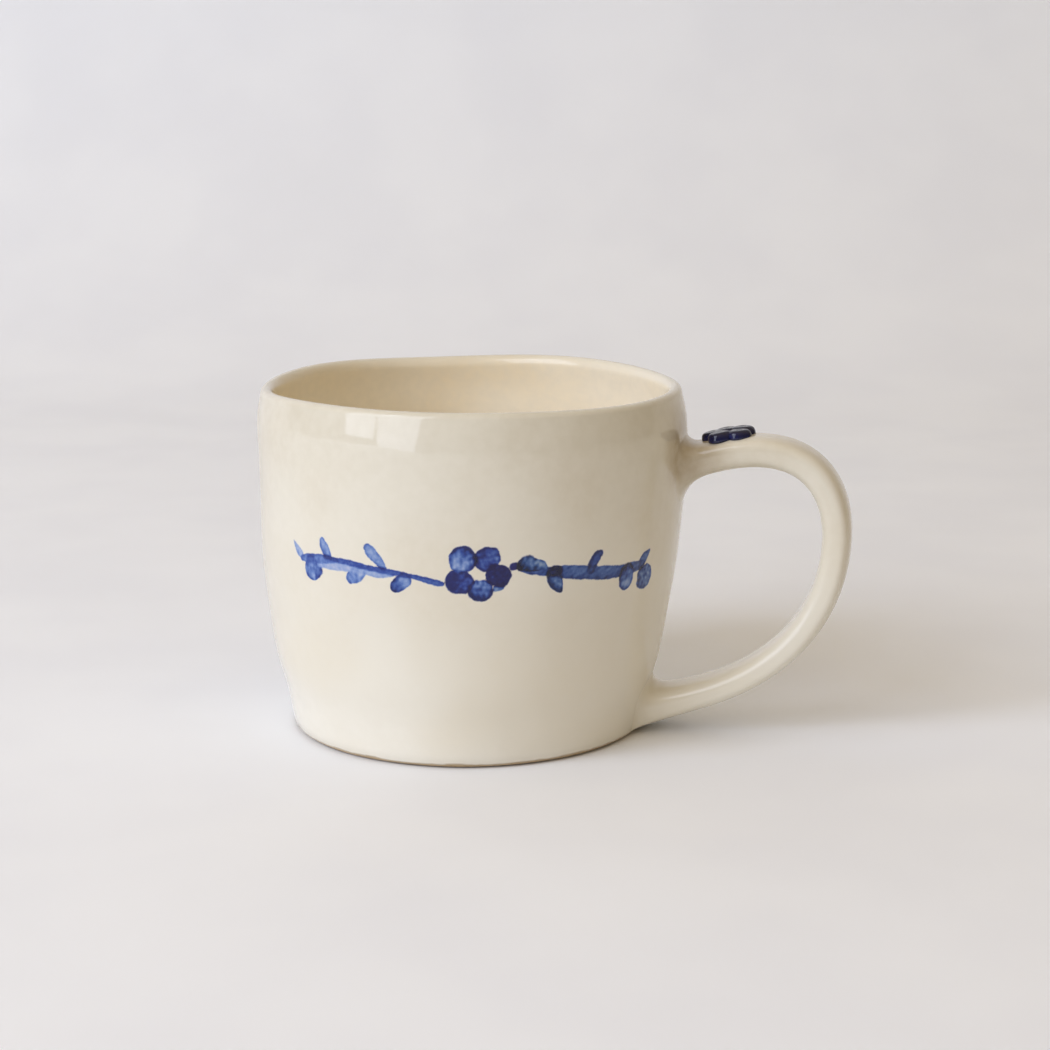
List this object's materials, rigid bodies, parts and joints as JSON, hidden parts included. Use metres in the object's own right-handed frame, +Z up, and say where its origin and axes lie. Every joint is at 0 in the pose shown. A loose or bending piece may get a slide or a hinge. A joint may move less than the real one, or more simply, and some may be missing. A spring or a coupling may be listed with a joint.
{
  "type": "hand-built stoneware mug",
  "caption": "Wide low stoneware mug with a strap handle, a raised flower thumb rest and a painted vine round the front.",
  "frame": {"origin": "centre of the foot, on the plane that the mug stands on, on the bowl's axis", "axes": "+Z up along the bowl's axis, +X towards the handle, -Y towards the painted side"},
  "size_m": [0.1288, 0.0932, 0.075],
  "materials": {
    "cream_glaze": "clear gloss glaze over cream stoneware",
    "bare_stoneware": "unglazed fired stoneware, matt; glazed on its inside face",
    "cobalt_glaze": "cobalt underglaze under clear gloss glaze"
  },
  "bodies": {
    "root": {"wall": "cream_glaze", "base_disc": "bare_stoneware", "floor_seam_coil": "cream_glaze", "handle_strap": "cream_glaze", "upper_joint_coil": "cream_glaze", "lower_joint_coil": "cream_glaze", "petal_1": "cobalt_glaze", "petal_2": "cobalt_glaze", "petal_3": "cobalt_glaze", "petal_4": "cobalt_glaze", "petal_5": "cobalt_glaze", "flower_eye": "cobalt_glaze"}
  },
  "joints": []
}
